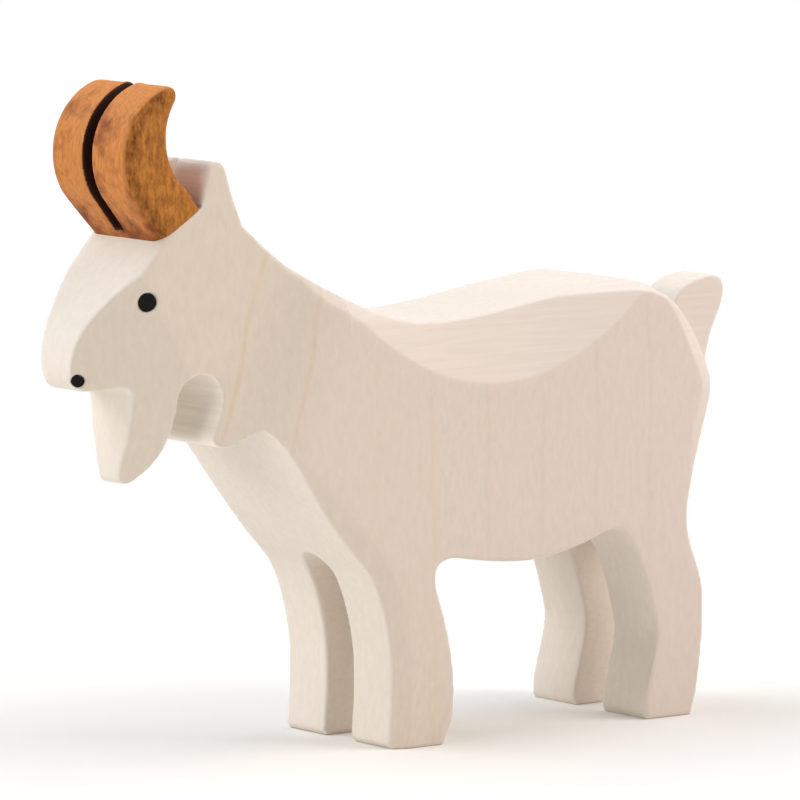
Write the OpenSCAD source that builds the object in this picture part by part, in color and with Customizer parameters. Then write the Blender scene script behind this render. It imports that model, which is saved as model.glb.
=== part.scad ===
// Carved wooden goat that stands on its four feet.
// Nose toward -X, left side toward -Y, feet on Z = 0, all sizes in millimetres.
// The body is sawn from one board, thinned at the head and hollowed along the back.
// A crescent block with a saw kerf makes the two horns and sits on dowels in the head.

/* [Overall] */
// length from nose to tail tip
goat_l = 121.4; // [100:0.2:150]
// height from the feet to the ear tips
ear_h = 88; // [74:1:106]
// thickness of the board
board_t = 28; // [24:0.5:34]

/* [Head] */
// thickness of the head
head_t = 18.6; // [17:0.2:21]
// length over which the neck thins to the head
neck_taper = 18; // [14:0.5:24]
// lean of the shoulder line away from the vertical
neck_lean = 27; // [20:1:32]
// lean of the cheek line away from the vertical
cheek_lean = 29.5; // [26:0.5:32]
// slope of the hollow cheek where it starts
cheek_a = 29.5; // [26:0.5:31]
// radius of the hollow cheek
cheek_r = 52; // [46:1:90]
// width of the slit between the ears
ear_slit = 1.4; // [0.8:0.1:2.2]

/* [Back and chest] */
// radius of the hollow along each edge of the back
scoop_r = 95; // [85:1:110]
// lean of that hollow away from the vertical
scoop_a = 19; // [15:0.5:22]
// width of the flat bevel beside the chest and the front legs
chest_bevel_w = 3.2; // [2:0.1:4]
// depth of that bevel at the edge
chest_bevel_d = 1.2; // [0.6:0.1:1.8]
// width of the bevel along the neck
neck_bevel_w = 2.4; // [1.2:0.1:2.8]
// depth of that bevel at the edge
neck_bevel_d = 2; // [1:0.1:2.4]
// width of the bevel round the rump
rump_bevel_w = 2.6; // [1.4:0.1:3.2]
// depth of that bevel at the edge
rump_bevel_d = 1.1; // [0.6:0.1:1.8]
// drop of the sloped edge of the croup
croup_drop = 1.7; // [0.8:0.1:2.2]
// width of that slope across the back
croup_slope = 4.5; // [2:0.1:6]

/* [Legs and tail] */
// gap between the left and the right legs
leg_gap = 6.6; // [5:0.2:9]
// height of that gap up to its round top
leg_gap_h = 28.5; // [24:0.5:31]
// thickness of the tail
tail_t = 7.6; // [6:0.2:10]

/* [Horns] */
// width of the horn block
horn_w = 18.8; // [17:0.2:21]
// radius of the outer curve
horn_r = 10.8; // [10.2:0.1:11.4]
// distance of the outer curve's centre behind the front of the seat
horn_x = 10.1; // [9.4:0.1:10.8]
// height of that centre above the seat
horn_rise = 7.8; // [7.2:0.1:8.4]
// radius of the hollow back
horn_back_r = 9.5; // [9:0.1:10.5]
// distance of the hollow's centre behind the front of the seat
horn_back_x = 17; // [16.5:0.1:17.6]
// height of that centre above the seat
horn_back_rise = 6.6; // [6:0.1:7.2]
// depth of the block where it sits on the head
horn_base = 8.2; // [7.6:0.1:8.4]
// radius of the rounded horn tip
horn_tip_r = 1.5; // [1:0.1:1.8]
// depth of the bevel on the front corners, at the seam of horns and head
seam_bevel = 1.6; // [0.6:0.1:2]
// width of the saw kerf between the horns
kerf_w = 2.2; // [1.6:0.1:3]
// thickness left under the kerf
kerf_web = 1.4; // [1:0.1:2.4]

/* [Dowels] */
// diameter of each dowel
dowel_d = 4; // [3:0.1:4.6]
// length of each dowel
dowel_l = 11; // [8:0.5:12]
// glue clearance round a dowel
dowel_gap = 0.05; // [0.02:0.01:0.15]
// room left past each dowel end
dowel_end = 0.4; // [0.2:0.1:0.8]

/* [Eyes and nostrils] */
// diameter of an eye
eye_d = 2.8; // [2:0.1:3.4]
// diameter of a nostril
nostril_d = 2; // [1.4:0.1:2.4]
// distance of the right nostril behind the left one
nostril_back = 1; // [0:0.1:1.4]
// depth of the drilled dimple of an eye
dimple = 0.4; // [0.2:0.05:0.7]
// rise of the paint dome above its rim
dome = 0.2; // [0.1:0.05:0.3]

/* [Hidden] */
$fn = 96;

// points on each curve of the outline
steps = 8;
// reach of cutters past the wood
past = 5;
// long enough to pass through the whole goat
reach = goat_l + 2 * ear_h;

// the outline is drawn 121.4 long and 88 high, then stretched to the wanted size
sx = goat_l / 121.4;
sz = ear_h / 88;

// point of the outline
function at(x, z) = [x * sx, z * sz];

// curve from a to d, drawn toward b and arriving from c, without its first point
function curve(a, b, c, d) = [
  for (i = [1:steps])
    let (t = i / steps, u = 1 - t)
      u * u * u * a + 3 * u * u * t * b + 3 * u * t * t * c + t * t * t * d
];

// seat of the horns, from the forehead back to the foot of the ears
seat_front = at(-48.4, 77);
seat_back = at(-41.3, 81.6);
seat_v = seat_back - seat_front;
seat_a = atan2(seat_v[1], seat_v[0]);

// point of the forehead where the bevel beside the horns runs out
brow = at(-51.4, 72.8);

// forehead, nose, chin, beard, and the arch between beard and throat
face_pts = concat(
  [seat_front],
  curve(at(-48.4, 77), at(-52, 71.8), at(-60.2, 66.6), at(-60.6, 60)),
  curve(at(-60.6, 60), at(-60.8, 57.2), at(-60, 55.6), at(-57.6, 55.5)),
  curve(at(-52.3, 55.8), at(-51.5, 55.8), at(-51, 55.2), at(-51, 54.2)),
  curve(at(-51, 54.2), at(-50.9, 50), at(-51.3, 46.5), at(-51.5, 43.2)),
  curve(at(-51.5, 43.2), at(-51.6, 41.5), at(-50.2, 40.9), at(-49, 41.9)),
  curve(at(-49, 41.9), at(-45.5, 44.6), at(-44.5, 48.4), at(-44.3, 54.6)),
  curve(at(-44.3, 54.6), at(-44.1, 58.4), at(-37.9, 58.7), at(-37.6, 54))
);

// throat
chest_top = at(-32.1, 48.7);
throat_pts = concat(
  curve(at(-37.6, 54), at(-37.8, 51.8), at(-38.8, 49.8), at(-39.6, 48.2)),
  curve(at(-39.6, 48.2), at(-40, 47), at(-39, 46.5), at(-37.6, 46.5)),
  curve(at(-37.6, 46.5), at(-35.4, 46.5), at(-34.3, 48.7), chest_top)
);

// chest and the front of the front legs
chest_low = at(-14.7, 27.1);
shin = at(-9.9, 13);
front_toe = at(-10.3, 0.8);
chest_pts = concat(
  curve(chest_top, at(-28.4, 46.4), at(-24.1, 36.5), chest_low),
  curve(chest_low, at(-12.3, 24.8), at(-10.3, 18), shin),
  curve(shin, at(-9.7, 9), at(-9.9, 5), front_toe)
);

// soles, belly and the insides of the legs
front_heel = at(-1, 0);
hind_toe = at(37.8, 0);
hind_heel = at(46.2, 0);
under_pts = concat(
  [[front_toe[0] + 0.6, 0], front_heel],
  curve(at(0.3, 1.3), at(1.8, 7), at(1.3, 13.5), at(-1.9, 22.5)),
  curve(at(-1.9, 22.5), at(-2.9, 25.3), at(-2.6, 27.9), at(1.6, 27.6)),
  curve(at(1.6, 27.6), at(11.4, 25.9), at(18.6, 24.8), at(29.9, 29.4)),
  curve(at(29.9, 29.4), at(35.4, 31), at(37.3, 21), at(39.7, 13.5)),
  curve(at(39.7, 13.5), at(40.3, 10.5), at(37, 5.5), at(37.3, 1)),
  [hind_toe, hind_heel]
);

// back of the hind legs
hock_pts = concat(
  curve(at(46.9, 1.2), at(47.9, 6.5), at(48.9, 13), at(48.5, 18.7)),
  curve(at(48.5, 18.7), at(48.2, 22.8), at(45.8, 25), at(45.4, 29.8))
);

// rump up to the croup
croup = at(36, 66.8);
rump_pts = concat(
  curve(at(45.4, 29.8), at(45, 35), at(49.4, 42.3), at(50.8, 49.5)),
  curve(at(50.8, 49.5), at(51.2, 53.2), at(44, 66.2), croup)
);

// back, neck and ears
saddle = at(1.4, 62.6);
back_pts = curve(croup, at(26.5, 66.6), at(11.4, 62.6), saddle);
neck_pts = curve(saddle, at(-10.6, 61.7), at(-24.6, 70), at(-34, 78.6));
ear_pts = concat(
  curve(at(-34, 78.6), at(-34.6, 80.4), at(-36.1, 83.4), at(-36.8, 86.4)),
  curve(at(-36.8, 86.4), at(-37.2, 88.5), at(-39.6, 88.7), at(-40.2, 86.8)),
  [seat_back]
);

// the upper rump and the back as far as the edge of the croup slopes
croup_pts = concat([for (i = [11:15]) rump_pts[i]], [for (i = [0:6]) back_pts[i]]);

// tail, with its root inside the rump
tail_pts = concat(
  [at(40, 50), at(44, 58)],
  curve(at(45.8, 57.4), at(49.6, 58), at(50.2, 60), at(50.9, 61.9)),
  curve(at(50.9, 61.9), at(51.6, 64.1), at(54.8, 65.4), at(58.5, 65.5)),
  curve(at(58.5, 65.5), at(60.2, 65.5), at(60.8, 64.2), at(60.6, 62.6)),
  curve(at(60.6, 62.6), at(60.3, 60), at(58.1, 57.9), at(57.5, 54.4)),
  curve(at(57.5, 54.4), at(56.8, 50.6), at(53.8, 47), at(48.6, 43))
);

// side cuts: half thicknesses, and the two equal arcs that join neck and body
half_t = board_t / 2;
half_head = head_t / 2;
neck_step = half_t - half_head;
neck_r = (neck_taper * neck_taper + neck_step * neck_step) / (4 * neck_step);
withers = at(-15.6, 63.4);
// lap of the arcs over the flats they run into
arc_lap = 0.02;

// distance of a point ahead of the shoulder line, and the half thickness there
function neck_d(p) = (withers[0] - p[0]) * cos(neck_lean) + (p[1] - withers[1]) * sin(neck_lean);
function arc_drop(d) = neck_r - sqrt(neck_r * neck_r - d * d);
function side_y(p) =
  let (d = neck_d(p))
    d <= 0 ? half_t :
    d < neck_taper / 2 ? half_t - arc_drop(d) :
    d < neck_taper ? half_head + arc_drop(neck_taper - d) :
    half_head;

// cheek line, and the hollow's centre measured from it
cheek_top = at(-51.6, 72);
cheek_c = [cheek_r * sin(cheek_a), half_head + cheek_r * cos(cheek_a)];

// distance of a point in front of the cheek line, and along that line
function cheek_d(p) = (cheek_top[0] - p[0]) * cos(cheek_lean) + (cheek_top[1] - p[1]) * sin(cheek_lean);
function cheek_l(p) = (p[0] - cheek_top[0]) * sin(cheek_lean) + (cheek_top[1] - p[1]) * cos(cheek_lean);
// half thickness and slope of the hollow cheek at that distance
function cheek_y(d) = cheek_c[1] - sqrt(cheek_r * cheek_r - (cheek_c[0] - d) * (cheek_c[0] - d));
function cheek_slope(d) = asin((cheek_c[0] - d) / cheek_r);

eye_p = at(-50.6, 68.4);
nostril_p = at(-59.4, 57.2);
// height of the ear slit's floor above the seat
ear_root = 1.2;
// direction of the nostrils, turned out from straight ahead
nostril_a = 60;
// depth of a nostril's floor below the muzzle's side
nostril_floor = 0.6;
// height of a nostril's rim above that floor
nostril_h = 0.45;

// share of its size at which a bevel starts where it fades out
fade = -0.15;

// where the hollow cheek ends behind the beard, and a height below the beard
cheek_end = at(-40.9, 30);

// points of the flat cut that thins the beard toward its tip
beard_tip = [-51.5 * sx, 0.25 * half_head, 42 * sz];
beard_side = [-51.5 * sx, 0.53 * half_head, 50.5 * sz];
beard_back = [-46 * sx, 0.74 * half_head, 50.5 * sz];

// lowest point of the hollow along the back
scoop_p = at(9.7, 53);

// horn centres and dowels in the seat's own directions
horn_c = [horn_x, horn_rise];
horn_back_c = [horn_back_x, horn_back_rise];
// lean of the straight lower front out to the outer curve
horn_lead = horn_r - horn_x - arc_lap;
// the tip's round touches the outer curve from inside and the hollow back from outside
tip_v = horn_c - horn_back_c;
tip_l = norm(tip_v);
tip_k = (pow(horn_back_r + horn_tip_r, 2) - pow(horn_r - horn_tip_r, 2) + tip_l * tip_l) / (2 * tip_l);
tip_u = tip_v / tip_l;
tip_h = sqrt(pow(horn_back_r + horn_tip_r, 2) - tip_k * tip_k);
tip_c = horn_back_c + tip_k * tip_u + tip_h * [tip_u[1], -tip_u[0]];
tip_front = horn_c + horn_r * (tip_c - horn_c) / norm(tip_c - horn_c);
tip_back = horn_back_c + horn_back_r * (tip_c - horn_back_c) / norm(tip_c - horn_back_c);
tip_a = atan2(tip_back[1] - tip_front[1], tip_back[0] - tip_front[0]);
// run of the seam bevel back along the seat, and up the front of the horns
seam_run = 2;
seam_rise = horn_rise;
dowel_y = (kerf_w + horn_w) / 4;
dowel_bore = dowel_d + 2 * dowel_gap;

wood = [0.87, 0.80, 0.73];
horn_wood = [0.68, 0.42, 0.18];
dowel_wood = [0.80, 0.66, 0.46];
paint = [0.13, 0.12, 0.11];

// flat shape across the board, its height along Z
module across(t) {
  rotate([90, 0, 0])
    linear_extrude(t, center = true)
      children();
}

module both_sides() {
  children();
  mirror([0, 1, 0])
    children();
}

// frame of the cheek line: X forward and down from the line, Y outward
module on_cheek() {
  translate([cheek_top[0], 0, cheek_top[1]])
    rotate([0, 180 - cheek_lean, 0])
      children();
}

// frame of the seat: X back along the seat, Z away from the head
module on_seat() {
  translate([seat_front[0], 0, seat_front[1]])
    rotate([0, -seat_a, 0])
      children();
}

// frame of the right eye: Z straight out of the cheek
module on_eye() {
  d = cheek_d(eye_p);
  on_cheek()
    translate([d, cheek_y(d), cheek_l(eye_p)])
      rotate([0, 0, -cheek_slope(d)])
        rotate([-90, 0, 0])
          children();
}

// frame of a nostril on the right: floor of its dimple, Z out of the muzzle's side
module on_nostril(back) {
  p = nostril_p + [back, 0];
  translate([p[0], cheek_y(cheek_d(p)), p[1]])
    rotate([0, 0, 180 - nostril_a])
      rotate([0, 90, 0])
        translate([0, 0, -nostril_floor])
          children();
}

// flat cut through three points, taken in turn so that the wood lies behind it
module corner_cut(a, b, c) {
  n = cross(b - a, c - a);
  translate(a)
    rotate([0, -asin(n[2] / norm(n)), atan2(n[1], n[0])])
      translate([0, -2 * past, -2 * past])
        cube([past, 4 * past, 4 * past]);
}

// room cut beside the neck and the head
module neck_cut() {
  translate([withers[0], 0, withers[1]])
    rotate([0, 180 + neck_lean, 0])
      linear_extrude(reach, center = true)
        difference() {
          translate([0, half_head])
            square([reach, half_t]);
          translate([0, half_t - neck_r + arc_lap])
            circle(neck_r);
          difference() {
            translate([neck_taper / 2, half_head - 1])
              square([neck_taper / 2, 1 + neck_step / 2]);
            translate([neck_taper, half_head + neck_r - arc_lap])
              circle(neck_r);
          }
        }
}

// room cut beside muzzle and beard, ahead of the throat only
module cheek_cut() {
  intersection() {
    on_cheek()
      translate([cheek_c[0], cheek_c[1], 0])
        cylinder(h = reach, r = cheek_r, center = true);
    translate([cheek_end[0] - reach, 0, cheek_end[1]])
      cube([reach, reach, reach]);
  }
}

// hollow along the upper edge of the back
module scoop_cut() {
  translate([scoop_p[0], half_t + scoop_r * cos(scoop_a), scoop_p[1] + scoop_r * sin(scoop_a)])
    rotate([scoop_a, 0, 0])
      cylinder(h = reach, r = scoop_r, center = true, $fn = 180);
}

// bevel that follows a stretch of the outline and the thinning side beside it:
// w wide on the side face and d deep at the edge, growing from a share of that at either end,
// where a share below 0 starts the cutter clear of the wood so that the bevel fades out
module edge_bevel(pts, w, d, first, last) {
  n = len(pts);
  rings = [
    for (i = [0:n - 1])
      let (
        run = pts[min(i + 1, n - 1)] - pts[max(i - 1, 0)],
        inward = [-run[1], run[0]] / norm(run),
        f = min(1, first + i / 4, last + (n - 1 - i) / 4),
        a = pts[i] + f * w * inward,
        o = pts[i] - w * inward,
        over = [w * inward[0], d, w * inward[1]] / 2
      )
        [
          [a[0], side_y(a), a[1]] + over,
          [pts[i][0], side_y(pts[i]) - f * d, pts[i][1]] - over,
          [o[0], side_y(pts[i]) + d, o[1]]
        ]
  ];
  polyhedron(
    [for (r = rings, q = r) q],
    concat(
      [[0, 1, 2]],
      [
        for (i = [0:n - 2], k = [0:2], half = [0, 1])
          let (a = 3 * i + k, b = 3 * i + (k + 1) % 3)
            half == 0 ? [b, a, a + 3] : [b, a + 3, b + 3]
      ],
      [[3 * n - 1, 3 * n - 2, 3 * n - 3]]
    )
  );
}

// round-topped gap between the left and the right legs
module leg_slot() {
  translate([0, 0, leg_gap_h - leg_gap / 2])
    rotate([0, 90, 0])
      cylinder(h = reach, d = leg_gap, center = true);
  translate([-reach / 2, -leg_gap / 2, -past])
    cube([reach, leg_gap, past + leg_gap_h - leg_gap / 2]);
}

// bores for the dowels, from the seat down into the head and up into the horns
module dowel_bores() {
  depth = dowel_l / 2 + dowel_end;
  both_sides()
    on_seat()
      translate([horn_base / 2, dowel_y, 0])
        cylinder(h = 2 * depth, d = dowel_bore, center = true);
}

// disc with a domed face, standing on Z = 0
module paint_dot(d, h) {
  dome_r = (d * d / 4 + dome * dome) / (2 * dome);
  intersection() {
    cylinder(h = h + 2 * dome, d = d);
    translate([0, 0, h + dome - dome_r])
      sphere(dome_r);
  }
}

module body() {
  color(wood)
    difference() {
      union() {
        across(board_t)
          polygon(concat(face_pts, throat_pts, chest_pts, under_pts, hock_pts,
                         rump_pts, back_pts, neck_pts, ear_pts));
        across(tail_t)
          polygon(tail_pts);
      }
      both_sides() {
        neck_cut();
        cheek_cut();
        scoop_cut();
        edge_bevel(concat(chest_pts, [front_toe - [0, past]]), chest_bevel_w, chest_bevel_d, fade, 1);
        edge_bevel(neck_pts, neck_bevel_w, neck_bevel_d, 1, fade);
        edge_bevel(rump_pts, rump_bevel_w, rump_bevel_d, fade, fade);
        edge_bevel(croup_pts, croup_drop, croup_slope, fade, fade);
        corner_cut(
          [seat_front[0], half_head - seam_bevel, seat_front[1]],
          [seat_front[0] + seam_run * cos(seat_a), half_head, seat_front[1] + seam_run * sin(seat_a)],
          [brow[0], half_head, brow[1]]
        );
        corner_cut(beard_tip, beard_side, beard_back);
        on_eye()
          translate([0, 0, -dimple])
            cylinder(h = past, d = eye_d);
      }
      mirror([0, 1, 0])
        on_nostril(0)
          cylinder(h = past, d = nostril_d);
      on_nostril(nostril_back)
        cylinder(h = past, d = nostril_d);
      leg_slot();
      dowel_bores();
      translate([seat_back[0] - past, -ear_slit / 2, seat_back[1] + ear_root])
        cube([4 * past, ear_slit, ear_h]);
    }
}

// side shape of the horns, standing on the seat, with a rounded tip
module crescent() {
  top = horn_rise + horn_r + past;
  difference() {
    polygon([[0, 0], [-horn_lead * top / horn_rise, top], [horn_back_x, top], horn_back_c,
             [horn_base, horn_back_rise], [horn_base, 0]]);
    difference() {
      translate([-reach / 2, horn_rise])
        square(reach);
      translate(horn_c)
        circle(horn_r);
    }
    translate(horn_back_c)
      circle(horn_back_r);
    difference() {
      translate(tip_front)
        rotate(tip_a)
          translate([-past, 0])
            square(4 * past);
      translate(tip_c)
        circle(horn_tip_r + arc_lap);
    }
  }
}

module horns() {
  color(horn_wood)
    difference() {
      on_seat()
        across(horn_w)
          crescent();
      on_seat()
        translate([-reach / 2, -kerf_w / 2, kerf_web])
          cube([reach, kerf_w, reach]);
      both_sides()
        on_seat()
          corner_cut(
            [0, horn_w / 2 - seam_bevel, 0],
            [horn_x - horn_r, horn_w / 2, seam_rise],
            [seam_run, horn_w / 2, 0]
          );
      dowel_bores();
    }
}

module horn_dowel() {
  color(dowel_wood)
    on_seat()
      translate([horn_base / 2, dowel_y, 0])
        cylinder(h = dowel_l, d = dowel_d, center = true);
}

module eye() {
  color(paint)
    on_eye()
      translate([0, 0, -dimple])
        paint_dot(eye_d, dimple);
}

module nostril(back) {
  color(paint)
    on_nostril(back)
      paint_dot(nostril_d, nostril_h);
}

body();
horns();
mirror([0, 1, 0]) horn_dowel();  // horn_dowel_left
horn_dowel();  // horn_dowel_right
mirror([0, 1, 0]) eye();  // eye_left
eye();  // eye_right
mirror([0, 1, 0]) nostril(0);  // nostril_left
nostril(nostril_back);  // nostril_right
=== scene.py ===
"""Looks of a carved wooden goat.

The body is white-stained wood, the horns are brown-stained wood, and the eyes and nostrils are
dabs of black paint."""

import math

import bmesh
import bpy
from mathutils import Matrix, Vector
from mathutils.bvhtree import BVHTree
from mathutils.kdtree import KDTree


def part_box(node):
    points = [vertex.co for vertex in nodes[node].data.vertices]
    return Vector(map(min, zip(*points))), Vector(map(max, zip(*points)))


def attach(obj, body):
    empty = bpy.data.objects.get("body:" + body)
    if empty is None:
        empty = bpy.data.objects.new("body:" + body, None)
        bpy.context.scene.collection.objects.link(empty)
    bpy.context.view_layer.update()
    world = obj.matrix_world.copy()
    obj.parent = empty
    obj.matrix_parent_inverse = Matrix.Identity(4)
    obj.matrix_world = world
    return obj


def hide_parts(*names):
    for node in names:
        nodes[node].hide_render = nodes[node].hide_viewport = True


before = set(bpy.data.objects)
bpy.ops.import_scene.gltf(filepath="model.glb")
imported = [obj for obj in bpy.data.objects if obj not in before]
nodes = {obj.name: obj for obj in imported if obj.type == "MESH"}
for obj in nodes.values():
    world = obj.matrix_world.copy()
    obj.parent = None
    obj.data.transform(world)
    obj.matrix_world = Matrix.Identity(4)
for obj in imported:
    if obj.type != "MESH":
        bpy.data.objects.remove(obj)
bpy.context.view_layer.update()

MM = 0.001

# Camera of the photograph, turned from straight beside the goat toward its nose
VIEW_TURN = math.radians(36.963)
VIEW_RISE = math.radians(6.663)
VIEW_DISTANCE = 1.1
VIEW_TARGET = Vector((1.4, 0, 49.874)) * MM
VIEW_LENS = 332.4
SENSOR = 36

# Soft lamps around the goat: direction, power and colour of each
LAMP_DISTANCE = 1.3
LAMP_SIZE = 0.8
LAMPS = {
    "near_right": ((0.542, -0.542, 0.643), 10.5, "#FFF6F2"),
    "ahead": ((-0.978, 0, 0.208), 6.2, "#FFFDFA"),
    "far_left": ((-0.542, 0.542, 0.643), 7.6, "#FFFFFA"),
    "far_left_high": ((-0.299, 0.299, 0.906), 5, "#D1DFFF"),
    "behind_high": ((0.423, 0, 0.906), 5.6, "#FDFFFC"),
}
WHITE = (1, 1, 1, 1)
# strength of the white surroundings as a light; where they are seen it is 1
SKY_LIGHT = 0.13

# Floor: half its width, its gap to the soles, and the distances between which it fades to white
FLOOR_REACH = 6
FLOOR_GAP = 0.02 * MM
FADE_MIDDLE = (6 * MM, 0, 0)
FADE_SPAN = (48 * MM, 120 * MM)
# share of white that it has near the goat
FADE_LEAST = 0.08

# Seat of the horns on the head, as two points of the side view
SEAT_FRONT = Vector((-48.4, 0, 77)) * MM
SEAT_BACK = Vector((-41.3, 0, 81.6)) * MM
SEAT_UP = Vector((0, -1, 0)).cross(SEAT_BACK - SEAT_FRONT).normalized()
# front of the ears above the seat, and the forehead below it
EAR_FRONT = Vector((-40.2, 0, 86.8)) * MM
FOREHEAD = Vector((-52, 0, 71.8)) * MM
# block that cuts the seat: half its width, and how far it reaches past the front of the seat
CUTTER_HALF = 15 * MM
CUTTER_LEAD = 6 * MM

# Sanding: grid of the softened meshes, passes that round their edges, and triangles kept after it
BODY_GRID = 0.27 * MM
BODY_PASSES = 6
HORN_GRID = 0.25 * MM
HORN_PASSES = 32
KEPT_FACES = 180000
# how far one pass moves a vertex toward the middle of its neighbours
PASS_FACTOR = 0.5
# edges of the saw cuts get only this many passes
SAWN_PASSES = 2
# half widths of the strips along the middle where the saw cuts are
KERF_STRIP = 2 * MM
SLOT_STRIP = 4.6 * MM
SLOT_TOP = 30 * MM
EAR_STRIP = 1.6 * MM
# height of the strip along the soles, which stand on sharp edges
SOLE_STRIP = 0.8 * MM
# reach of the drilled rim around the paint dots
DOT_STRIP = 0.6 * MM
# the glued faces run on this far while the edges are sanded, and are cut flush after that
SEAM_OVERRUN = 1.6 * MM
WELD = 0.002 * MM
PLANE_SLACK = 0.01 * MM
SHARP_ANGLE = math.radians(65)
# cosines from which a face counts as parallel to the seat, and as turned toward an axis
PARALLEL = 0.999
TURNED = 0.5

# Places of the finish and of painted light and shade: the notch behind the beard, the slot of
# the legs, the kerf and its floor
NOTCH_LOW = Vector((-46, 0, 45.5)) * MM
NOTCH_HIGH = Vector((-36.8, 0, 60)) * MM
SLOT_HALF = 3.5 * MM
KERF_HALF = 1.25 * MM
KERF_FLOOR = 1.3 * MM
# strength of the saw marks and their painted light in the notch and on the ears, and in the slot
ROUGH_MARKS_AND_LIGHT = 0.9
SLOT_MARKS_AND_LIGHT = 0.5
# wood that sanding takes off a sharp edge
EDGE_LOSS = 0.2 * MM
# middle and reach of the band of painted shade behind the front edge of the horns
RIM_MIDDLE = 1.2 * MM
RIM_REACH = 1.3 * MM

# Paint dabs: width and height of each against its drilled dimple, and the lean of its axes
DOTS = ("eye_left", "eye_right", "nostril_left", "nostril_right")
EYE_DAB = (0.93, 1.03, 0)
NOSTRIL_DAB = (1.02, 0.87, math.radians(-22))
# how uneven their outline is, and in how many waves
DAB_UNEVEN = 0.025
DAB_WAVES = 3

# Bend in the front of the hind legs: its place, how far it is drawn out, how deep into the leg
HOCK_FRONT = 30 * MM
HOCK_MIDDLE = 12.5 * MM
HOCK_REACH = 9 * MM
HOCK_DEPTH = 6 * MM
HOCK_ROWS = 36
# heights over which the front is averaged, as it is and as it is eased
HOCK_SHARP = 0.4 * MM
HOCK_EASED = 2 * MM
# sideways part of a normal from which a face belongs to an edge of the leg
HOCK_EDGE = 0.3

# Growth lines: where the neck begins, and the height about which and the amount by which they lean
NECK_BEGINS = (-12 * MM, -20 * MM)
LEAN_HEIGHT = 62.5 * MM
NECK_LEAN = -0.3
# their spacing, the shift of the first one and half widths of a line in spacings, and their wander
LINE_SPACING = 10.2 * MM
LINE_FIRST = 0.17
LINE_WIDTH = (0.06, 0.012)
LINE_WANDER = 2.4 * MM
# where they end toward the head and toward the chest
HEAD_ENDS = (-36 * MM, -33 * MM)
CHEST_ENDS = (43 * MM, 50 * MM)
# share of the lean at which lines of the neck come and those of the belly go, and their strength
NECK_SHARE = (0.9, 1)
BELLY_SHARE = (0.1, 0)
NECK_LINES = 0.75
BELLY_LINES = 0.36

# Hollow of the back: how far it lies inside the board, its height, its front end and its slope
HALF_BOARD = 14 * MM
HOLLOW_WIDTH = (HALF_BOARD - 0.03 * MM, HALF_BOARD - 0.12 * MM)
HOLLOW_HEIGHT = (42 * MM, 52 * MM)
HOLLOW_FRONT = -18 * MM
HOLLOW_SLOPE = (0.3, 0.45)
# sideways part of the normals of the goat's two sides
SIDE_SLOPE = (0.6, 0.9)

# White-stained wood: length along which its tone drifts, and how much of the tone follows it
DRIFT_SPAN = (-40 * MM, 30 * MM)
DRIFT_SHARE = 0.6
# tint of the growth lines, share of painted light that pales the hollow, and tilt of the layers
# that it cuts
LINE_TINT = (0.95, 0.84, 0.66, 1)
HOLLOW_PAINTED_LIGHT = 0.55
LAYER_TILT = 0.06

# Brown-stained wood: heights over which the faces darken toward the foot of the horns, by how
# much, and the strength of the painted shade behind the front rim
FOOT_DARK_SPAN = (79 * MM, 88 * MM)
FOOT_DARK_SHIFT = (-0.1, 0.03)
RIM_SHADE = -0.18

# Settings of a Mix node that multiplies two colours
MULTIPLIED = {"data_type": "RGBA", "blend_type": "MULTIPLY"}

# Relief of the finishes, and how they refract
WOOD_RELIEF = 0.06 * MM
PAINT_RELIEF = 0.05 * MM
MATT_IOR = 1.45
PAINT_IOR = 1.5


def linear(hex_colour):
    """Linear RGBA of an sRGB hex colour."""
    channels = [int(hex_colour[i:i + 2], 16) / 255 for i in (1, 3, 5)]
    return [c / 12.92 if c <= 0.04045 else ((c + 0.055) / 1.055) ** 2.4 for c in channels] + [1]


def add(tree, kind, inputs=(), **settings):
    """Adds a shader node with its settings.

    inputs pairs a socket with a value, with an output to link, or with a node, whose first output
    in use is linked."""
    made = tree.nodes.new("ShaderNode" + kind)
    for name, value in settings.items():
        setattr(made, name, value)
    for socket, value in dict(inputs).items():
        if isinstance(value, bpy.types.Node):
            value = next(output for output in value.outputs if output.enabled)
        if isinstance(value, bpy.types.NodeSocket):
            tree.links.new(value, made.inputs[socket])
        else:
            made.inputs[socket].default_value = value
    return made


def span(value, start, end, low=0, high=1):
    """Inputs of a Map Range that turns start to end into low to high."""
    return {"Value": value, "From Min": start, "From Max": end, "To Min": low, "To Max": high}


def set_stops(ramp, *stops):
    """Gives a colour ramp the positions and colours of its stops."""
    for element, (position, hex_colour) in zip(ramp.color_ramp.elements, stops):
        element.position = position
        element.color = linear(hex_colour)


def pattern(tree, place, size, detail, roughness=0.5, **mapping):
    """Noise whose features are as many millimetres long in x, y and z as size says."""
    scale = [1 / MM / length for length in size]
    laid = add(tree, "Mapping", {"Vector": place, "Scale": scale, **mapping})
    noise = {"Vector": laid, "Scale": 1, "Detail": detail, "Roughness": roughness}
    return add(tree, "TexNoise", noise)


def new_material(name):
    """Empty node material, its tree and its Object coordinates."""
    material = bpy.data.materials.new(name)
    material.use_nodes = True
    tree = material.node_tree
    tree.nodes.clear()
    return material, tree, add(tree, "TexCoord").outputs["Object"]


def sideways(tree, slope):
    """Inputs of a Map Range that rises as faces turn from across the board to its sides."""
    normal = add(tree, "SeparateXYZ", {0: add(tree, "NewGeometry").outputs["Normal"]})
    return span(add(tree, "Math", {0: normal.outputs["Y"]}, operation="ABSOLUTE"), *slope)


def side_facing(tree):
    """1 on faces of the goat's two sides, 0 on faces across the board."""
    return add(tree, "MapRange", sideways(tree, SIDE_SLOPE), interpolation_type="SMOOTHSTEP")


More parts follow.
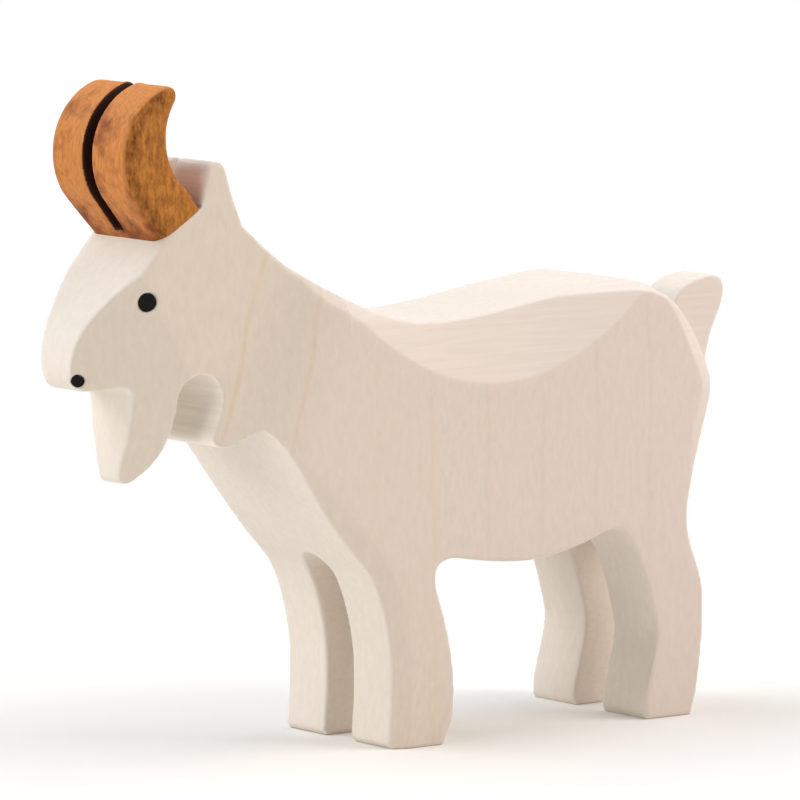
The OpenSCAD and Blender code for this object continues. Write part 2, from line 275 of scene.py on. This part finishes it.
def growth_lines(tree, place):
    """Strength of the tan growth lines, which are upright on the belly and lean on the neck."""
    axes = add(tree, "SeparateXYZ", {0: place}).outputs
    x, z = axes["X"], axes["Z"]
    neck = add(tree, "MapRange", span(x, *NECK_BEGINS), interpolation_type="SMOOTHSTEP")
    height = add(tree, "Math", {0: z, 1: LEAN_HEIGHT}, operation="SUBTRACT")
    lean = add(tree, "Math", {0: height, 1: neck}, operation="MULTIPLY")
    upright = add(tree, "Math", {0: lean, 1: NECK_LEAN, 2: x}, operation="MULTIPLY_ADD")
    wander = pattern(tree, place, (30, 30, 11), 2)
    bent = add(tree, "Math", {0: wander, 1: LINE_WANDER, 2: upright}, operation="MULTIPLY_ADD")

    # distance to the nearest line, in spacings
    per_line = 1 / LINE_SPACING
    count = add(tree, "Math", {0: bent, 1: per_line, 2: LINE_FIRST}, operation="MULTIPLY_ADD")
    apart = add(tree, "Math", {0: count, 1: 0.5}, operation="PINGPONG")
    line = add(tree, "MapRange", span(apart, *LINE_WIDTH), interpolation_type="SMOOTHSTEP")

    # strength of the lines, in patches
    ahead = add(tree, "MapRange", span(neck, *NECK_SHARE))
    behind_head = add(tree, "MapRange", span(bent, *HEAD_ENDS))
    above_chest = add(tree, "MapRange", span(z, *CHEST_ENDS))
    on_neck = add(tree, "Math", {0: ahead, 1: behind_head}, operation="MULTIPLY")
    clear = add(tree, "Math", {0: on_neck, 1: above_chest}, operation="MULTIPLY")
    on_belly = add(tree, "MapRange", span(neck, *BELLY_SHARE, high=BELLY_LINES))
    most = add(tree, "Math", {0: clear, 1: NECK_LINES, 2: on_belly}, operation="MULTIPLY_ADD")
    patch = pattern(tree, place, (9, 9, 7), 2)
    strength = add(tree, "Math", {0: patch, 1: most}, operation="MULTIPLY", use_clamp=True)
    shown = add(tree, "Math", {0: line, 1: strength}, operation="MULTIPLY")
    return add(tree, "Math", {0: shown, 1: side_facing(tree)}, operation="MULTIPLY")


def hollow_back(tree, place):
    """1 on the hollow of the back and on the tail, where the wood lies inside the board's sides."""
    axes = add(tree, "SeparateXYZ", {0: place}).outputs
    out = add(tree, "Math", {0: axes["Y"]}, operation="ABSOLUTE")
    inside = add(tree, "MapRange", span(out, *HOLLOW_WIDTH))
    above_belly = add(tree, "MapRange", span(axes["Z"], *HOLLOW_HEIGHT))
    behind_neck = add(tree, "Math", {0: axes["X"], 1: HOLLOW_FRONT}, operation="GREATER_THAN")
    back = add(tree, "Math", {0: above_belly, 1: behind_neck}, operation="MULTIPLY")
    slanted = add(tree, "Math", {0: inside, 1: back}, operation="MULTIPLY")
    steep = add(tree, "MapRange", sideways(tree, HOLLOW_SLOPE))
    return add(tree, "Math", {0: slanted, 1: steep}, operation="MULTIPLY")


def white_stained_wood():
    """Fine pale hardwood under a thin white stain: matt, with vertical fibres, a few tan growth
    lines, saw marks in the corners that no sandpaper reached, and paler edges. Painted light pales
    the faces across the board, the hollow of the back and the sawn corners."""
    material, tree, place = new_material("white_stained_wood")

    # broad drift from a straw tone at the head to a pinkish one at the rump; the faces across the
    # board get a paler, greyer tone, which is painted light for how bright light washes out the top
    # and front
    drift = pattern(tree, place, (22, 14, 60), 2)
    axes = add(tree, "SeparateXYZ", {0: place}).outputs
    rearward = add(tree, "MapRange", span(axes["X"], *DRIFT_SPAN))
    stretch = add(tree, "Mix", {0: DRIFT_SHARE, 2: drift, 3: rearward})
    tone = add(tree, "ValToRGB", {"Fac": stretch})
    set_stops(tone, (0.25, "#E6D8C7"), (0.75, "#E6D7CA"))
    side = side_facing(tree)
    board = add(tree, "Mix", {0: side, 6: linear("#E5DBCF"), 7: tone}, data_type="RGBA")

    # short vertical fibres; in the hollow of the back, layers cut at a slant as fine lines along
    # it, with twice the contrast
    fibre = pattern(tree, place, (1, 1, 2.4), 4, 0.7)
    layer = pattern(tree, place, (12, 3, 0.55), 2, Rotation=(0, LAYER_TILT, 0))
    clearer = add(tree, "Math", {0: layer, 1: 2, 2: -0.5}, operation="MULTIPLY_ADD")
    hollow = hollow_back(tree, place)
    grain = add(tree, "Mix", {0: hollow, 2: fibre, 3: clearer})
    shade = add(tree, "MapRange", span(grain, 0.3, 0.7, 0.955, 1.035))
    grained = add(tree, "Mix", {0: 1, 6: board, 7: shade}, **MULTIPLIED)

    # painted light makes the hollow paler, for the stronger light it gets, and growth lines stay
    # off it
    hollow_light_share = add(tree, "Math", {0: hollow, 1: HOLLOW_PAINTED_LIGHT}, operation="MULTIPLY")
    hollow_painted_lit = add(tree, "Mix", {0: hollow_light_share, 6: grained, 7: linear("#F1E6DB")}, data_type="RGBA")
    flat_side = add(tree, "Math", {0: 1, 1: hollow}, operation="SUBTRACT")
    lines = add(tree, "Math", {0: growth_lines(tree, place), 1: flat_side}, operation="MULTIPLY")
    lined = add(tree, "Mix", {0: lines, 6: hollow_painted_lit, 7: LINE_TINT}, **MULTIPLIED)

    # saw cuts that were not sanded, with marks across the board; their pale tone is painted light,
    # lifting the shade in the notch, on the fronts of the ears and in the slot
    saw = pattern(tree, place, (0.9, 30, 0.6), 3, 0.65)
    marked = add(tree, "MapRange", span(saw, 0.35, 0.65, 0.93, 1.03))
    marks_on_painted_light = add(tree, "Mix", {0: 1, 6: linear("#F4ECE1"), 7: marked}, **MULTIPLIED)
    saw_marks_and_light = add(tree, "Attribute", attribute_name="saw_marks_and_painted_light").outputs["Fac"]
    sawn = add(tree, "Mix", {0: saw_marks_and_light, 6: lined, 7: marks_on_painted_light}, data_type="RGBA")

    # paler tone along the sanded edges, strongest where the sanding took most wood off
    edge = add(tree, "Attribute", attribute_name="pale_edge").outputs["Fac"]
    edge_paling_share = add(tree, "MapRange", span(edge, 0.1, 0.8, high=0.5), interpolation_type="SMOOTHSTEP")
    edge_paling = add(tree, "Mix", {0: edge_paling_share, 6: sawn, 7: linear("#F3E9DF")}, data_type="RGBA")

    relief = add(tree, "Math", {0: saw, 1: saw_marks_and_light, 2: grain}, operation="MULTIPLY_ADD")
    bump = add(tree, "Bump", {"Height": relief, "Strength": 0.12, "Distance": WOOD_RELIEF})
    surface = add(tree, "BsdfPrincipled", {
        "Base Color": edge_paling, "Roughness": 0.7, "IOR": MATT_IOR,
        "Specular IOR Level": 0.25, "Normal": bump})
    add(tree, "OutputMaterial", {"Surface": surface})
    return material


def brown_stained_wood():
    """Hardwood soaked with a brown stain: orange on the faces across the board with darker
    red-brown blotches, golden brown with dark streaks on the sides, a band of painted shade behind
    the rounded front edge, and painted shade nearly black in the kerf."""
    material, tree, place = new_material("brown_stained_wood")

    # blotches of the faces across the board, darker toward the foot of the horns
    blotch = pattern(tree, place, (6, 5, 5), 4, 0.62, Location=(0.35, 0.2, 0.6))
    axes = add(tree, "SeparateXYZ", {0: place}).outputs
    foot_darkening = add(tree, "MapRange", span(axes["Z"], *FOOT_DARK_SPAN, *FOOT_DARK_SHIFT))
    depth = add(tree, "Math", {0: blotch, 1: foot_darkening}, operation="ADD")
    face = add(tree, "ValToRGB", {"Fac": depth})
    set_stops(face, (0.32, "#85441F"), (0.56, "#C98142"))

    # streaks of the sides, with painted shade darkening a band behind the rounded front edge
    streak = pattern(tree, place, (0.6, 0.6, 1.3), 4, 0.7)
    rim = add(tree, "Attribute", attribute_name="front_rim").outputs["Fac"]
    rim_shaded = add(tree, "Math", {0: rim, 1: RIM_SHADE, 2: streak}, operation="MULTIPLY_ADD")
    side = add(tree, "ValToRGB", {"Fac": rim_shaded})
    set_stops(side, (0.18, "#6E3A12"), (0.62, "#C98238"))
    tone = add(tree, "Mix", {0: side_facing(tree), 6: face, 7: side}, data_type="RGBA")

    # upright fibres
    fibre = pattern(tree, place, (0.4, 0.4, 2.5), 3, 0.6)
    shade = add(tree, "MapRange", span(fibre, 0.3, 0.7, 0.8, 1.12))
    grained = add(tree, "Mix", {0: 1, 6: tone, 7: shade}, **MULTIPLIED)

    # painted shade in the deep kerf, nearly black
    kerf_shade = add(tree, "Attribute", attribute_name="kerf").outputs["Fac"]
    kerf = add(tree, "Mix", {0: kerf_shade, 6: grained, 7: linear("#34160A")}, data_type="RGBA")

    bump = add(tree, "Bump", {"Height": fibre, "Strength": 0.15, "Distance": WOOD_RELIEF})
    surface = add(tree, "BsdfPrincipled", {
        "Base Color": kerf, "Roughness": 0.6, "IOR": MATT_IOR,
        "Specular IOR Level": 0.2, "Normal": bump})
    add(tree, "OutputMaterial", {"Surface": surface})
    return material


def beech():
    """Bare turned beech of the hidden dowels: pinkish straw with short dark flecks along it."""
    material, tree, place = new_material("beech")
    tone = add(tree, "ValToRGB", {"Fac": pattern(tree, place, (0.5, 0.5, 3), 3)})
    set_stops(tone, (0.35, "#B8956A"), (0.6, "#D9BB8F"))
    surface = add(tree, "BsdfPrincipled", {"Base Color": tone, "Roughness": 0.6, "IOR": MATT_IOR})
    add(tree, "OutputMaterial", {"Surface": surface})
    return material


def black_paint():
    """Brushed-on black paint: satin, very slightly uneven."""
    material, tree, place = new_material("black_paint")
    dab = pattern(tree, place, (0.7, 0.7, 0.7), 2)
    tone = add(tree, "ValToRGB", {"Fac": dab})
    set_stops(tone, (0.3, "#0F0E0D"), (0.7, "#1B1816"))
    bump = add(tree, "Bump", {"Height": dab, "Strength": 0.3, "Distance": PAINT_RELIEF})
    surface = add(tree, "BsdfPrincipled", {
        "Base Color": tone, "Roughness": 0.45, "IOR": PAINT_IOR,
        "Specular IOR Level": 0.1, "Normal": bump})
    add(tree, "OutputMaterial", {"Surface": surface})
    return material


def seen_white(tree):
    """1 for camera, glossy and transmission rays, to which the surroundings are plain white."""
    path = add(tree, "LightPath").outputs
    seen = path["Is Camera Ray"]
    for kind in ("Is Glossy Ray", "Is Transmission Ray"):
        seen = add(tree, "Math", {0: seen, 1: path[kind]}, operation="MAXIMUM")
    return seen


def white_floor():
    """Pale studio sweep: keeps the shadows near the goat and fades to white further out."""
    material, tree, place = new_material("white_floor")
    far = add(tree, "VectorMath", {0: place, 1: FADE_MIDDLE}, operation="DISTANCE")
    faded = span(far, *FADE_SPAN, FADE_LEAST)
    fade = add(tree, "MapRange", faded, interpolation_type="SMOOTHSTEP")
    white = add(tree, "Math", {0: seen_white(tree), 1: fade}, operation="MULTIPLY")
    sweep = add(tree, "BsdfPrincipled", {
        "Base Color": linear("#F1EFEB"), "Roughness": 0.9, "IOR": MATT_IOR,
        "Specular IOR Level": 0})
    glow = add(tree, "Emission", {"Color": WHITE, "Strength": 1})
    surface = add(tree, "MixShader", {0: white, 1: sweep, 2: glow})
    add(tree, "OutputMaterial", {"Surface": surface})
    return material


def new_piece(name, bm):
    """Object of a bmesh, which is used up."""
    mesh = bpy.data.meshes.new(name)
    bm.to_mesh(mesh)
    bm.free()
    piece = bpy.data.objects.new(name, mesh)
    bpy.context.scene.collection.objects.link(piece)
    return piece


def with_modifiers(piece):
    """The bmesh that a piece's modifiers give, after which they are taken off."""
    evaluated = piece.evaluated_get(bpy.context.evaluated_depsgraph_get())
    bm = bmesh.new()
    bm.from_mesh(evaluated.to_mesh())
    evaluated.to_mesh_clear()
    piece.modifiers.clear()
    return bm


def pull_out(bm, faces, vec):
    """Extrudes a region of faces along a vector."""
    made = bmesh.ops.extrude_face_region(bm, geom=faces)["geom"]
    bmesh.ops.translate(bm, verts=[v for v in made if isinstance(v, bmesh.types.BMVert)], vec=vec)


def sanded(node, name, grid, passes, sawn, side, overrun):
    """Copy of a sawn CAD node with its edges sanded round.

    sawn says which vertices lie at a saw cut, whose edges stay sharper. side is 1 for the piece
    under the glued seat and -1 for the piece on it. The glued face runs on by overrun, to be cut
    flush later."""
    bm = bmesh.new()
    bm.from_mesh(nodes[node].data)
    bmesh.ops.remove_doubles(bm, verts=bm.verts, dist=WELD)
    glued = [
        f for f in bm.faces
        if f.normal.dot(SEAT_UP) * side > PARALLEL
        and all(abs((v.co - SEAT_FRONT).dot(SEAT_UP)) < PLANE_SLACK for v in f.verts)
    ]
    pull_out(bm, glued, overrun)
    bmesh.ops.delete(bm, geom=[f for f in glued if f.is_valid], context="FACES")

    uncut = BVHTree.FromBMesh(bm)
    piece = new_piece(name, bm)
    remesh = piece.modifiers.new("grid", "REMESH")
    remesh.mode = "VOXEL"
    remesh.voxel_size = grid
    bm = with_modifiers(piece)
    rounded = [v for v in bm.verts if not sawn(v.co)]
    for turn in range(passes):
        touched = bm.verts if turn < SAWN_PASSES else rounded
        bmesh.ops.smooth_vert(bm, verts=touched, factor=PASS_FACTOR,
                              use_axis_x=True, use_axis_y=True, use_axis_z=True)
    thin = piece.modifiers.new("thin", "DECIMATE")
    thin.ratio = min(1, KEPT_FACES / (2 * len(bm.faces)))
    bm.to_mesh(piece.data)
    bm.free()
    bm = with_modifiers(piece)
    bm.normal_update()
    edge_paling = bm.verts.layers.float.new("pale_edge")
    for vert in bm.verts:
        loss = uncut.find_nearest(vert.co)[0] - vert.co
        vert[edge_paling] = min(1, max(0, loss.dot(vert.normal) / EDGE_LOSS))
    bm.to_mesh(piece.data)
    bm.free()
    return piece


def finish_faces(bm, piece):
    """Smooth faces with sharp sawn edges, written to the piece."""
    for face in bm.faces:
        face.smooth = True
    for edge in bm.edges:
        edge.smooth = edge.calc_face_angle(0) < SHARP_ANGLE
    bm.to_mesh(piece.data)
    bm.free()


def ease_hocks(bm):
    """Draws the bend in the front of the hind legs out into a longer curve."""
    low = HOCK_MIDDLE - HOCK_REACH
    step = 2 * HOCK_REACH / HOCK_ROWS
    legs = [v for v in bm.verts if v.co.x > HOCK_FRONT and abs(v.co.z - HOCK_MIDDLE) < HOCK_REACH]
    front = [v.co.copy() for v in legs if v.normal.x < -TURNED and abs(v.normal.y) < HOCK_EDGE]

    def mean_x(height, spread):
        weights = [math.exp(-((p.z - height) / spread) ** 2 / 2) for p in front]
        return sum(w * p.x for w, p in zip(weights, front)) / sum(weights)

    heights = [low + step * row for row in range(HOCK_ROWS + 2)]
    sharp = [mean_x(height, HOCK_SHARP) for height in heights]
    ease = [mean_x(height, HOCK_EASED) - x for height, x in zip(heights, sharp)]
    for vert in legs:
        row, part = divmod((vert.co.z - low) / step, 1)
        row = int(row)
        surface = sharp[row] + (sharp[row + 1] - sharp[row]) * part
        shift = ease[row] + (ease[row + 1] - ease[row]) * part
        inside = min(1, max(0, (vert.co.x - surface) / HOCK_DEPTH))
        away = abs(vert.co.z - HOCK_MIDDLE) / HOCK_REACH
        vert.co.x += shift * (1 - inside) * min(1, 2 * (1 - away))


def goat_body():
    """Sanded body, with the seat of the horns cut flat in front of the ears."""
    forehead_run = (SEAT_FRONT - FOREHEAD).normalized() * SEAM_OVERRUN
    rims = [
        [corner + Vector((way * DOT_STRIP,) * 3) for corner, way in zip(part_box(dot), (-1, 1))]
        for dot in DOTS
    ]

    def sawn(p):
        in_slot = abs(p.y) < SLOT_STRIP and p.z < SLOT_TOP
        in_slit = abs(p.y) < EAR_STRIP and p.z > SEAT_BACK.z
        at_dot = any(all(low[k] < p[k] < high[k] for k in range(3)) for low, high in rims)
        return in_slot or in_slit or at_dot or p.z < SOLE_STRIP

    piece = sanded("body", "sanded_body", BODY_GRID, BODY_PASSES, sawn, 1, forehead_run)

    # block that takes the overrun off again
    along = (SEAT_BACK - SEAT_FRONT).normalized()
    reach = 2 * (EAR_FRONT - SEAT_BACK)
    ahead = SEAT_FRONT - along * CUTTER_LEAD
    half_width = Vector((0, CUTTER_HALF, 0))
    bm = bmesh.new()
    corners = [SEAT_BACK, SEAT_BACK + reach, ahead + reach, ahead]
    profile = bm.faces.new([bm.verts.new(c - half_width) for c in corners])
    pull_out(bm, [profile], 2 * half_width)
    bmesh.ops.recalc_face_normals(bm, faces=bm.faces)
    cutter = new_piece("seat_cutter", bm)
    cut = piece.modifiers.new("seat", "BOOLEAN")
    cut.operation = "DIFFERENCE"
    cut.object = cutter
    bm = with_modifiers(piece)
    bpy.data.objects.remove(cutter)

    bm.normal_update()
    ease_hocks(bm)
    bm.normal_update()
    # saw marks, with painted light that pales the notch, the fronts of the ears and the slot walls
    saw_marks_and_light = bm.verts.layers.float.new("saw_marks_and_painted_light")
    for vert in bm.verts:
        in_notch = all(NOTCH_LOW[k] < vert.co[k] < NOTCH_HIGH[k] for k in (0, 2))
        on_ear = vert.co.z > SEAT_BACK.z and vert.normal.x < -TURNED
        in_slot = abs(vert.co.y) < SLOT_HALF and vert.co.z < SLOT_TOP
        if (in_notch or on_ear) and abs(vert.normal.y) < TURNED:
            vert[saw_marks_and_light] = ROUGH_MARKS_AND_LIGHT
        elif in_slot and abs(vert.normal.x) < TURNED:
            vert[saw_marks_and_light] = SLOT_MARKS_AND_LIGHT
    finish_faces(bm, piece)
    return piece


def horn_block():
    """Sanded horn block, cut flat at the seat."""
    piece = sanded("horns", "sanded_horns", HORN_GRID, HORN_PASSES,
                   lambda p: abs(p.y) < KERF_STRIP, -1, -SEAT_UP * SEAM_OVERRUN)
    bm = bmesh.new()
    bm.from_mesh(piece.data)
    cut = bmesh.ops.bisect_plane(bm, geom=bm.verts[:] + bm.edges[:] + bm.faces[:], dist=WELD,
                                 plane_co=SEAT_FRONT, plane_no=-SEAT_UP, clear_outer=True)
    rim = [e for e in cut["geom_cut"] if isinstance(e, bmesh.types.BMEdge)]
    bmesh.ops.triangle_fill(bm, edges=rim, use_beauty=True)
    bm.normal_update()
    front = [v.co for v in bm.verts if v.normal.x < -TURNED and abs(v.normal.y) < TURNED]
    nearest = KDTree(len(front))
    for index, point in enumerate(front):
        nearest.insert(point, index)
    nearest.balance()
    # band of painted shade behind the rounded front edge
    dark = bm.verts.layers.float.new("front_rim")
    kerf = bm.verts.layers.float.new("kerf")
    for vert in bm.verts:
        vert[dark] = max(0, 1 - abs(nearest.find(vert.co)[2] - RIM_MIDDLE) / RIM_REACH)
        # the kerf above its floor takes painted shade
        height = (vert.co - SEAT_FRONT).dot(SEAT_UP)
        vert[kerf] = float(abs(vert.co.y) < KERF_HALF and height > KERF_FLOOR)
    finish_faces(bm, piece)
    return piece


def paint_dab(node, width, height, lean):
    """Paint dot as the brush left it in its dimple: slightly oval and uneven."""
    bm = bmesh.new()
    bm.from_mesh(nodes[node].data)
    bmesh.ops.remove_doubles(bm, verts=bm.verts, dist=WELD)
    bmesh.ops.dissolve_degenerate(bm, edges=bm.edges, dist=WELD)
    low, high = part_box(node)
    middle = (low + high) / 2
    for vert in bm.verts:
        out = vert.co - middle
        uneven = 1 + DAB_UNEVEN * math.cos(DAB_WAVES * math.atan2(out.z, out.x))
        vert.co = middle + Vector((out.x * uneven, out.y, out.z * uneven))
    own_axes = Matrix.Rotation(lean, 4, "Y") @ Matrix.Translation(-middle)
    bmesh.ops.scale(bm, verts=bm.verts, vec=(width, 1, height), space=own_axes)
    piece = new_piece("dabbed_" + node, bmesh.new())
    finish_faces(bm, piece)
    return piece


def dress(piece, material, slot, *stands_for):
    """Gives a new piece its material and place in the frame. slot is not used."""
    piece.data.materials.clear()
    piece.data.materials.append(material)
    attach(piece, "root")
    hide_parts(*stands_for)


def paint_node(node, material):
    """Gives a CAD node that stays as it is a better material."""
    nodes[node].data.materials.clear()
    nodes[node].data.materials.append(material)


def softbox(name, direction, power, hex_colour):
    """Square soft light that faces the goat."""
    lamp = bpy.data.lights.new(name, "AREA")
    lamp.shape = "SQUARE"
    lamp.size = LAMP_SIZE
    lamp.energy = power
    lamp.color = linear(hex_colour)[:3]
    holder = bpy.data.objects.new(name, lamp)
    holder.location = VIEW_TARGET + Vector(direction).normalized() * LAMP_DISTANCE
    holder.rotation_euler = Vector(direction).to_track_quat("Z", "Y").to_euler()
    bpy.context.scene.collection.objects.link(holder)


def studio():
    """Camera, floor, white surroundings and soft lights."""
    scene = bpy.context.scene
    level = math.cos(VIEW_RISE)
    ahead, beside = math.sin(VIEW_TURN) * level, math.cos(VIEW_TURN) * level
    toward = Vector((-ahead, -beside, math.sin(VIEW_RISE)))
    lens = bpy.data.cameras.new("camera")
    lens.sensor_fit = "HORIZONTAL"
    lens.sensor_width = SENSOR
    lens.lens = VIEW_LENS
    camera = bpy.data.objects.new("camera", lens)
    camera.location = VIEW_TARGET + toward * VIEW_DISTANCE
    camera.rotation_euler = toward.to_track_quat("Z", "Y").to_euler()
    scene.collection.objects.link(camera)
    scene.camera = camera

    bm = bmesh.new()
    bmesh.ops.create_grid(bm, x_segments=1, y_segments=1, size=FLOOR_REACH)
    floor = new_piece("floor", bm)
    floor.location.z = -FLOOR_GAP
    floor.data.materials.append(white_floor())

    world = bpy.data.worlds.new("studio")
    scene.world = world
    world.use_nodes = True
    tree = world.node_tree
    tree.nodes.clear()
    strength = add(tree, "MapRange", span(seen_white(tree), 0, 1, SKY_LIGHT))
    sky = add(tree, "Background", {"Color": WHITE, "Strength": strength})
    add(tree, "OutputWorld", {"Surface": sky})

    for name, lamp in LAMPS.items():
        softbox(name, *lamp)
    scene.view_settings.view_transform = "Standard"


dress(goat_body(), white_stained_wood(), "white_stained_wood", "body")
dress(horn_block(), brown_stained_wood(), "brown_stained_wood", "horns")

dowel_finish = beech()
paint_finish = black_paint()
for end in ("left", "right"):
    paint_node("horn_dowel_" + end, dowel_finish)
    dress(paint_dab("eye_" + end, *EYE_DAB), paint_finish, "black_paint", "eye_" + end)
    dress(paint_dab("nostril_" + end, *NOSTRIL_DAB), paint_finish, "black_paint", "nostril_" + end)

studio()
